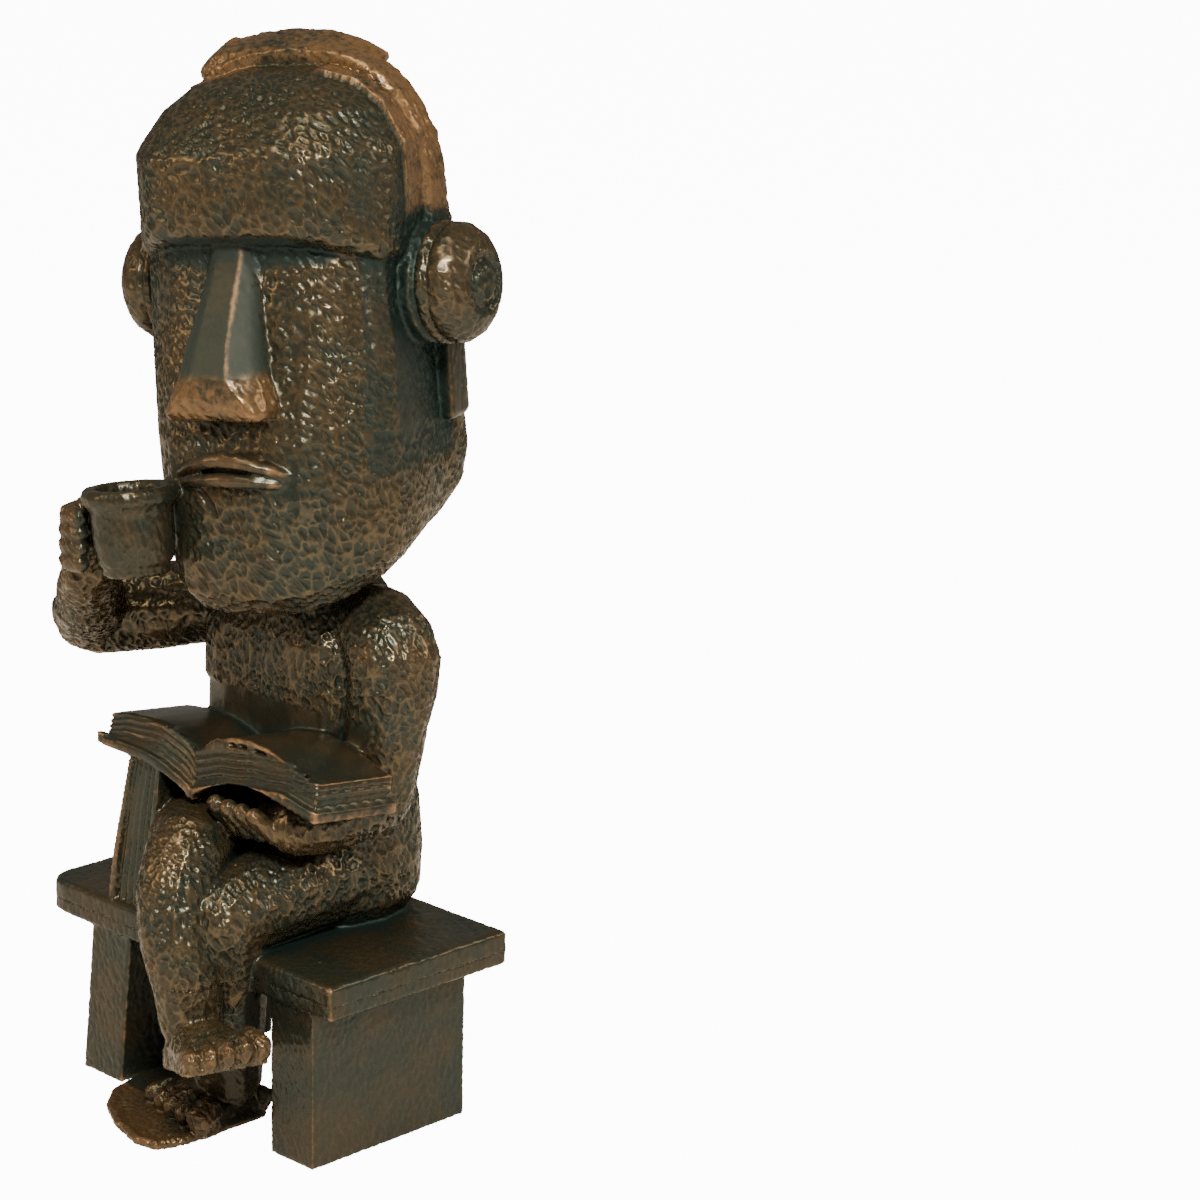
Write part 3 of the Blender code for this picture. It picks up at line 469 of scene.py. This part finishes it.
def sculpt(item):
    """Carves the casting and stores on its points what the finish needs to know."""
    skin = Skin(item.data)
    zone, head, body, book = regions(skin.points)
    crisp = np.clip(sum(share * zone[name] for name, share in CRISPNESS.items()), 0.0, 1.0)
    skin.fair(1.0 - 0.94 * crisp, FAIR_ROUNDS)
    soft = 0.3 * (1.0 - crisp)[:, None]
    skin.points = skin.points + soft * (skin.blur(skin.points, 4) - skin.points)
    between_leaves = press_pages(skin, book, zone)
    fill_out(skin, head, body, zone)

    # Convex edges and recesses, from how far the surface stands out of its own blur
    normal = skin.normals()
    near = skin.blur(skin.points, NEAR_BLUR)
    middle = skin.blur(near, FAR_BLUR)
    edge = skin.blur(np.einsum("ij,ij->i", skin.points - near, normal) / EDGE_HEIGHT, 1)
    bulk = np.einsum("ij,ij->i", skin.points - middle, normal) / BULK_HEIGHT
    crowd = crowding(skin.points + 0.6 * MM * normal)

    # Hammered relief: dents with thin ridges between them
    strength = np.ones(skin.count)
    for name, keep in KEPT_RELIEF.items():
        strength *= 1.0 - (1.0 - keep) * zone[name]
    strength = np.maximum(strength, NOSE_FOOT_RELIEF * zone["nose_foot"])
    strength *= smooth_step(-1.5, -0.4, edge) * smooth_step(-1.3, -0.3, bulk)
    patch = soft_noise(skin.points, PATCH, 2)
    border = np.where(np.clip(zone["head"], 0.0, 1.0) > 0.5,
                      cell_relief(skin.points, CELL, HEAD_GRAIN, 0.50, 0.55, 1),
                      cell_relief(skin.points, 0.80 * CELL, BODY_GRAIN, 0.50, 0.75, 2))
    small_border = cell_relief(skin.points, 0.62 * CELL, HEAD_GRAIN, 0.40, 0.4, 4)
    ridge = np.exp(-border / RIDGE_WIDTH)
    dent = smooth_step(0.0, 0.46, border)
    small_dent = smooth_step(0.0, 0.5, small_border)
    depth = (RELIEF_DEPTH + RELIEF_VARIES * patch) * MM * strength
    skin.points = skin.points + normal * (depth * (0.45 - dent - 0.22 * small_dent))[:, None]
    grain = soft_noise(skin.points, GRAIN, 3)
    skin.points = skin.points + normal * (GRAIN_DEPTH * grain * (0.3 + 0.7 * strength))[:, None]
    skin.write()

    # Painted shade zones added to the crowding: the sides of the head and under the brow, with the dark
    # lines between leaves and a teal tint on the cup
    shade_and_patina = 1.7 * zone["side"] + 1.7 * zone["under_brow"] + 1.4 * between_leaves + 0.3 * zone["cup"]
    plain = np.clip(zone["bench"] + zone["cup"] + 0.6 * zone["open_book"], 0.0, 1.0)
    nose_flank = zone["nose"] * (1.0 - zone["nose_front"])
    teal = zone["nose_front"] + 1.6 * nose_flank - 2.0 * zone["nose_foot"]
    for name, values in (
            ("ridge", (ridge - 0.6 * dent) * strength),
            # Convex edges for worn copper, with the painted highlights on the nose ridge and the lip corner
            # added in
            ("edge", edge + 1.1 * zone["nose_ridge"] + 0.6 * zone["lip_corner"]),
            ("outer", (1.0 - 2.0 * crowd) * (1.0 - 0.8 * plain)),
            # Painted shade, like ambient occlusion, where the space is crowded, plus the zones above; partly
            # the teal patina of the hollows
            ("shade_and_patina", 6.0 * (crowd - 0.5) - 0.45 * edge + shade_and_patina),
            ("copper", np.clip(zone["band"] + 0.8 * zone["nose_foot"], 0, 1)),
            ("teal", np.clip(teal, 0, 1.6))):
        add_attribute(item.data, name, values)


# Pieces: the casting is cut at the seat and along the jaw, for meshes of a fair size

JAW_POINT = (1.0, 7.0, 53.5)
JAW_OUTWARD = (0.0, 0.3, -1.0)
SEAT_POINT = (0.0, 0.0, -3.0)
SEAT_OUTWARD = (0.0, 0.0, -1.0)
OVERLAP = 0.12 * MM
CUT_SNAP = 1e-7
PIECE_TRIANGLES = 198000


def other_side(cut):
    point, outward = cut
    return point, -outward


def cut_off(item, name, cuts, limit):
    """A closed copy of item on the inner side of each (point, outward normal) plane."""
    mesh = bmesh.new()
    mesh.from_mesh(item.data)
    for point, outward in cuts:
        outward = outward.normalized()
        found = bmesh.ops.bisect_plane(
            mesh, geom=mesh.verts[:] + mesh.edges[:] + mesh.faces[:], dist=CUT_SNAP,
            plane_co=point + outward * OVERLAP, plane_no=outward, clear_outer=True)
        rim = [e for e in found["geom_cut"] if isinstance(e, bmesh.types.BMEdge) and e.is_boundary]
        bmesh.ops.holes_fill(mesh, edges=rim, sides=0)
    bmesh.ops.triangulate(mesh, faces=mesh.faces)
    data = bpy.data.meshes.new(name)
    mesh.to_mesh(data)
    mesh.free()
    piece = bpy.data.objects.new(name, data)
    bpy.context.scene.collection.objects.link(piece)
    if len(data.polygons) > limit:
        thin = piece.modifiers.new("thin", "DECIMATE")
        thin.ratio = limit / len(data.polygons)
        bpy.context.view_layer.update()
        graph = bpy.context.evaluated_depsgraph_get()
        data = bpy.data.meshes.new_from_object(piece.evaluated_get(graph))
        piece.modifiers.clear()
        piece.data = data
    data.shade_smooth()
    return piece


# Finish: bronze paint with painted shade and painted highlights

GROUND_GREEN = (0.022, 0.028, 0.020)
GROUND_BROWN = (0.039, 0.031, 0.017)
OUTER_BROWN = (0.125, 0.068, 0.030)
RIDGE_FILM = (0.22, 0.145, 0.068)
# Near-black teal: painted shade in hollows, partly their teal patina
SHADE_AND_PATINA_TEAL = (0.006, 0.020, 0.018)
NOSE_TEAL = (0.010, 0.020, 0.016)
WORN_COPPER = (0.26, 0.140, 0.058)
# Copper of worn edges and of the painted highlights
RUBBED_COPPER_AND_HIGHLIGHT = (0.33, 0.180, 0.085)
GLINT = (1.0, 0.91, 0.74, 1.0)
CLOUD_SCALE = 95.0
GRIT_SCALE = 1000.0
SPECKLE_ROUGHNESS = 0.6
BUMP_STRENGTH = 0.3
BUMP_DEPTH = 0.00010


def bronze():
    """Green-black ground, copper worn through on what stands out, painted highlights on the nose and mouth,
    and painted shade in hollows and on the head's sides, by the points' attributes.
    """
    material = bpy.data.materials.new("bronze_paint_with_painted_light")
    material.use_nodes = True
    nodes = material.node_tree.nodes
    links = material.node_tree.links
    nodes.clear()

    def math_node(operation, first, second, clamp=False):
        made = nodes.new("ShaderNodeMath")
        made.operation = operation
        made.use_clamp = clamp
        for slot, value in zip(made.inputs, (first, second)):
            if isinstance(value, (int, float)):
                slot.default_value = value
            else:
                links.new(value, slot)
        return made.outputs[0]

    def ramp(value, low, high, top=1.0):
        made = nodes.new("ShaderNodeMapRange")
        made.interpolation_type = "SMOOTHSTEP"
        made.inputs["From Min"].default_value = low
        made.inputs["From Max"].default_value = high
        made.inputs["To Max"].default_value = top
        links.new(value, made.inputs["Value"])
        return made.outputs["Result"]

    def mix(share, first, second):
        made = nodes.new("ShaderNodeMix")
        made.data_type = "RGBA"
        links.new(share, made.inputs["Factor"])
        for name, value in (("A", first), ("B", second)):
            slot = [s for s in made.inputs if s.name == name and s.type == "RGBA"][0]
            if isinstance(value, tuple):
                slot.default_value = value + (1.0,)
            else:
                links.new(value, slot)
        return [s for s in made.outputs if s.type == "RGBA"][0]

    def attribute(name):
        made = nodes.new("ShaderNodeAttribute")
        made.attribute_name = name
        return made.outputs["Fac"]

    place = nodes.new("ShaderNodeTexCoord").outputs["Object"]

    def speckle(scale, detail):
        made = nodes.new("ShaderNodeTexNoise")
        made.inputs["Scale"].default_value = scale
        made.inputs["Detail"].default_value = detail
        made.inputs["Roughness"].default_value = SPECKLE_ROUGHNESS
        links.new(place, made.inputs["Vector"])
        return made.outputs["Fac"]

    ridge = attribute("ridge")
    edge = attribute("edge")
    outer = attribute("outer")
    shade_and_patina = attribute("shade_and_patina")
    copper_form = attribute("copper")
    teal_form = attribute("teal")
    cloud = speckle(CLOUD_SCALE, 3.0)
    grit = speckle(GRIT_SCALE, 5.0)
    broken = math_node("ADD", math_node("MULTIPLY", grit, 0.6), math_node("MULTIPLY", cloud, 0.4))
    uneven = math_node("MULTIPLY", math_node("SUBTRACT", broken, 0.5), 2.0)

    colour = mix(ramp(cloud, 0.38, 0.62), GROUND_GREEN, GROUND_BROWN)
    far_out = ramp(math_node("ADD", math_node("MULTIPLY", outer, 2.0), uneven), 0.50, 1.9, 0.70)
    colour = mix(far_out, colour, OUTER_BROWN)
    film = ramp(math_node("ADD", ridge, math_node("MULTIPLY", uneven, 0.35)), 0.10, 1.0, 0.40)
    colour = mix(film, colour, RIDGE_FILM)
    # Painted shade: near-black teal where the space is crowded, on the sides of the head and under the brow,
    # partly the teal patina of the hollows
    shade_and_patina_share = ramp(math_node("ADD", shade_and_patina, math_node("MULTIPLY", uneven, 0.5)), 0.35, 1.7, 0.94)
    colour = mix(shade_and_patina_share, colour, SHADE_AND_PATINA_TEAL)
    colour = mix(math_node("MULTIPLY", teal_form, 0.6, clamp=True), colour, NOSE_TEAL)
    worn = math_node("MULTIPLY", copper_form, ramp(broken, 0.34, 0.60, 0.62))
    colour = mix(worn, colour, WORN_COPPER)
    # Copper on convex edges as wear, and the painted highlights on the nose ridge and lip corner
    rubbed_and_highlight = ramp(math_node("ADD", edge, math_node("MULTIPLY", uneven, 0.9)), 0.65, 1.9, 0.85)
    colour = mix(rubbed_and_highlight, colour, RUBBED_COPPER_AND_HIGHLIGHT)

    shader = nodes.new("ShaderNodeBsdfPrincipled")
    links.new(colour, shader.inputs["Base Color"])
    bare = math_node("SUBTRACT", 0.50, math_node("MULTIPLY", teal_form, 0.25))
    metal = math_node("ADD", math_node("MULTIPLY", film, 0.40), bare, clamp=True)
    links.new(metal, shader.inputs["Metallic"])
    dull = math_node("ADD", math_node("MULTIPLY", shade_and_patina_share, 0.22), math_node("MULTIPLY", teal_form, 0.20))
    gloss = math_node("SUBTRACT", math_node("ADD", 0.31, dull), math_node("MULTIPLY", film, 0.18))
    links.new(gloss, shader.inputs["Roughness"])
    shader.inputs["Specular Tint"].default_value = GLINT
    bump = nodes.new("ShaderNodeBump")
    bump.inputs["Strength"].default_value = BUMP_STRENGTH
    bump.inputs["Distance"].default_value = BUMP_DEPTH
    links.new(grit, bump.inputs["Height"])
    links.new(bump.outputs["Normal"], shader.inputs["Normal"])
    out = nodes.new("ShaderNodeOutputMaterial")
    links.new(shader.outputs[0], out.inputs["Surface"])
    return material


# Studio

FLOOR_GLOW = 12.0
FLOOR_SIZE = 4.0
FLOOR_GREY = 0.85
AMBIENT = 0.22
WHITE = (1.0, 1.0, 1.0, 1.0)


def floor_paint():
    """Pale matt paint that the camera sees evenly lit."""
    material = bpy.data.materials.new("floor_paint")
    material.use_nodes = True
    nodes = material.node_tree.nodes
    shader = nodes["Principled BSDF"]
    shader.inputs["Base Color"].default_value = (FLOOR_GREY, FLOOR_GREY, FLOOR_GREY, 1.0)
    shader.inputs["Roughness"].default_value = 0.9
    shader.inputs["Emission Color"].default_value = WHITE
    seen = nodes.new("ShaderNodeLightPath").outputs["Is Camera Ray"]
    glow = nodes.new("ShaderNodeMath")
    glow.operation = "MULTIPLY"
    glow.inputs[1].default_value = FLOOR_GLOW
    material.node_tree.links.new(seen, glow.inputs[0])
    material.node_tree.links.new(glow.outputs[0], shader.inputs["Emission Strength"])
    return material


def add_floor():
    mesh = bmesh.new()
    bmesh.ops.create_grid(mesh, x_segments=1, y_segments=1, size=FLOOR_SIZE)
    data = bpy.data.meshes.new("floor")
    mesh.to_mesh(data)
    mesh.free()
    data.materials.append(floor_paint())
    floor = bpy.data.objects.new("floor", data)
    bpy.context.scene.collection.objects.link(floor)


# The camera: what it aims at, in millimetres from the bench's middle, and where that is in the image
AIM = (18.5, -12.8, 80.0)
AZIMUTH = 49.0
PITCH = 15.0
DISTANCE = 0.466
FOCAL_PIXELS = 3400.0
IMAGE_PIXELS = 1200.0
AIM_PIXEL_X = 285.0
SENSOR = 36.0


def looking_from(azimuth, pitch, distance, aim):
    """Place of what looks at aim from that azimuth and height angle, in degrees."""
    azimuth, pitch = math.radians(azimuth), math.radians(pitch)
    back = Vector((math.sin(azimuth) * math.cos(pitch), -math.cos(azimuth) * math.cos(pitch),
                   math.sin(pitch)))
    right = Vector((math.cos(azimuth), math.sin(azimuth), 0.0))
    matrix = Matrix((right, back.cross(right), back)).transposed().to_4x4()
    matrix.translation = aim + back * distance
    return matrix


def add_camera():
    placed = looking_from(AZIMUTH, PITCH, DISTANCE, MIDDLE + Vector(AIM) * MM)
    yaw = math.atan((IMAGE_PIXELS / 2 - AIM_PIXEL_X) / FOCAL_PIXELS)
    data = bpy.data.cameras.new("camera")
    data.sensor_width = SENSOR
    data.lens = FOCAL_PIXELS / IMAGE_PIXELS * SENSOR
    camera = bpy.data.objects.new("camera", data)
    camera.matrix_world = placed @ Matrix.Rotation(-yaw, 4, "Y")
    bpy.context.scene.collection.objects.link(camera)
    bpy.context.scene.camera = camera


# The lights: azimuth and height angle in degrees, width in metres, power in watts, colour
LIGHTS = {
    "key": (52.0, 40.0, 0.15, 10.5, (1.0, 0.97, 0.90)),
    "top": (15.0, 72.0, 0.40, 3.5, (1.0, 0.86, 0.66)),
    "warm_side": (-30.0, 24.0, 0.40, 2.6, (1.0, 0.74, 0.50)),
    "rim": (132.0, 30.0, 0.35, 2.6, (1.0, 0.86, 0.70)),
}
LIGHT_DISTANCE = 0.9
LIGHT_AIM = (0.0, 0.0, 0.08)


def add_lights():
    for name, (azimuth, pitch, width, power, colour) in LIGHTS.items():
        data = bpy.data.lights.new(name, "AREA")
        data.shape = "DISK"
        data.size = width
        data.energy = power
        data.color = colour
        light = bpy.data.objects.new(name, data)
        light.matrix_world = looking_from(azimuth, pitch, LIGHT_DISTANCE, Vector(LIGHT_AIM))
        bpy.context.scene.collection.objects.link(light)


def add_surroundings():
    """Even white that the camera sees as bright as the floor, and that lights the figurine little."""
    world = bpy.data.worlds.new("studio")
    bpy.context.scene.world = world
    world.use_nodes = True
    tree = world.node_tree
    background = tree.nodes["Background"]
    background.inputs["Color"].default_value = WHITE
    seen = tree.nodes.new("ShaderNodeLightPath").outputs["Is Camera Ray"]
    strength = tree.nodes.new("ShaderNodeMapRange")
    strength.inputs["To Min"].default_value = AMBIENT
    strength.inputs["To Max"].default_value = FLOOR_GLOW
    tree.links.new(seen, strength.inputs["Value"])
    tree.links.new(strength.outputs["Result"], background.inputs["Strength"])


def main():
    add_camera()
    add_surroundings()
    add_lights()
    add_floor()
    casting = dense_copy()
    sculpt(casting)
    jaw = (body_point(*JAW_POINT), Vector(JAW_OUTWARD))
    seat = (body_point(*SEAT_POINT), Vector(SEAT_OUTWARD))
    pieces = {
        "head_and_cup": [jaw],
        "seated_body": [other_side(jaw), seat],
        "bench_and_feet": [other_side(seat)],
    }
    finish = bronze()
    for name, cuts in pieces.items():
        piece = cut_off(casting, name, cuts, PIECE_TRIANGLES)
        piece.data.materials.clear()
        piece.data.materials.append(finish)
        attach(piece, "root")
        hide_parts(NODE)
    bpy.data.objects.remove(casting, do_unlink=True)


main()
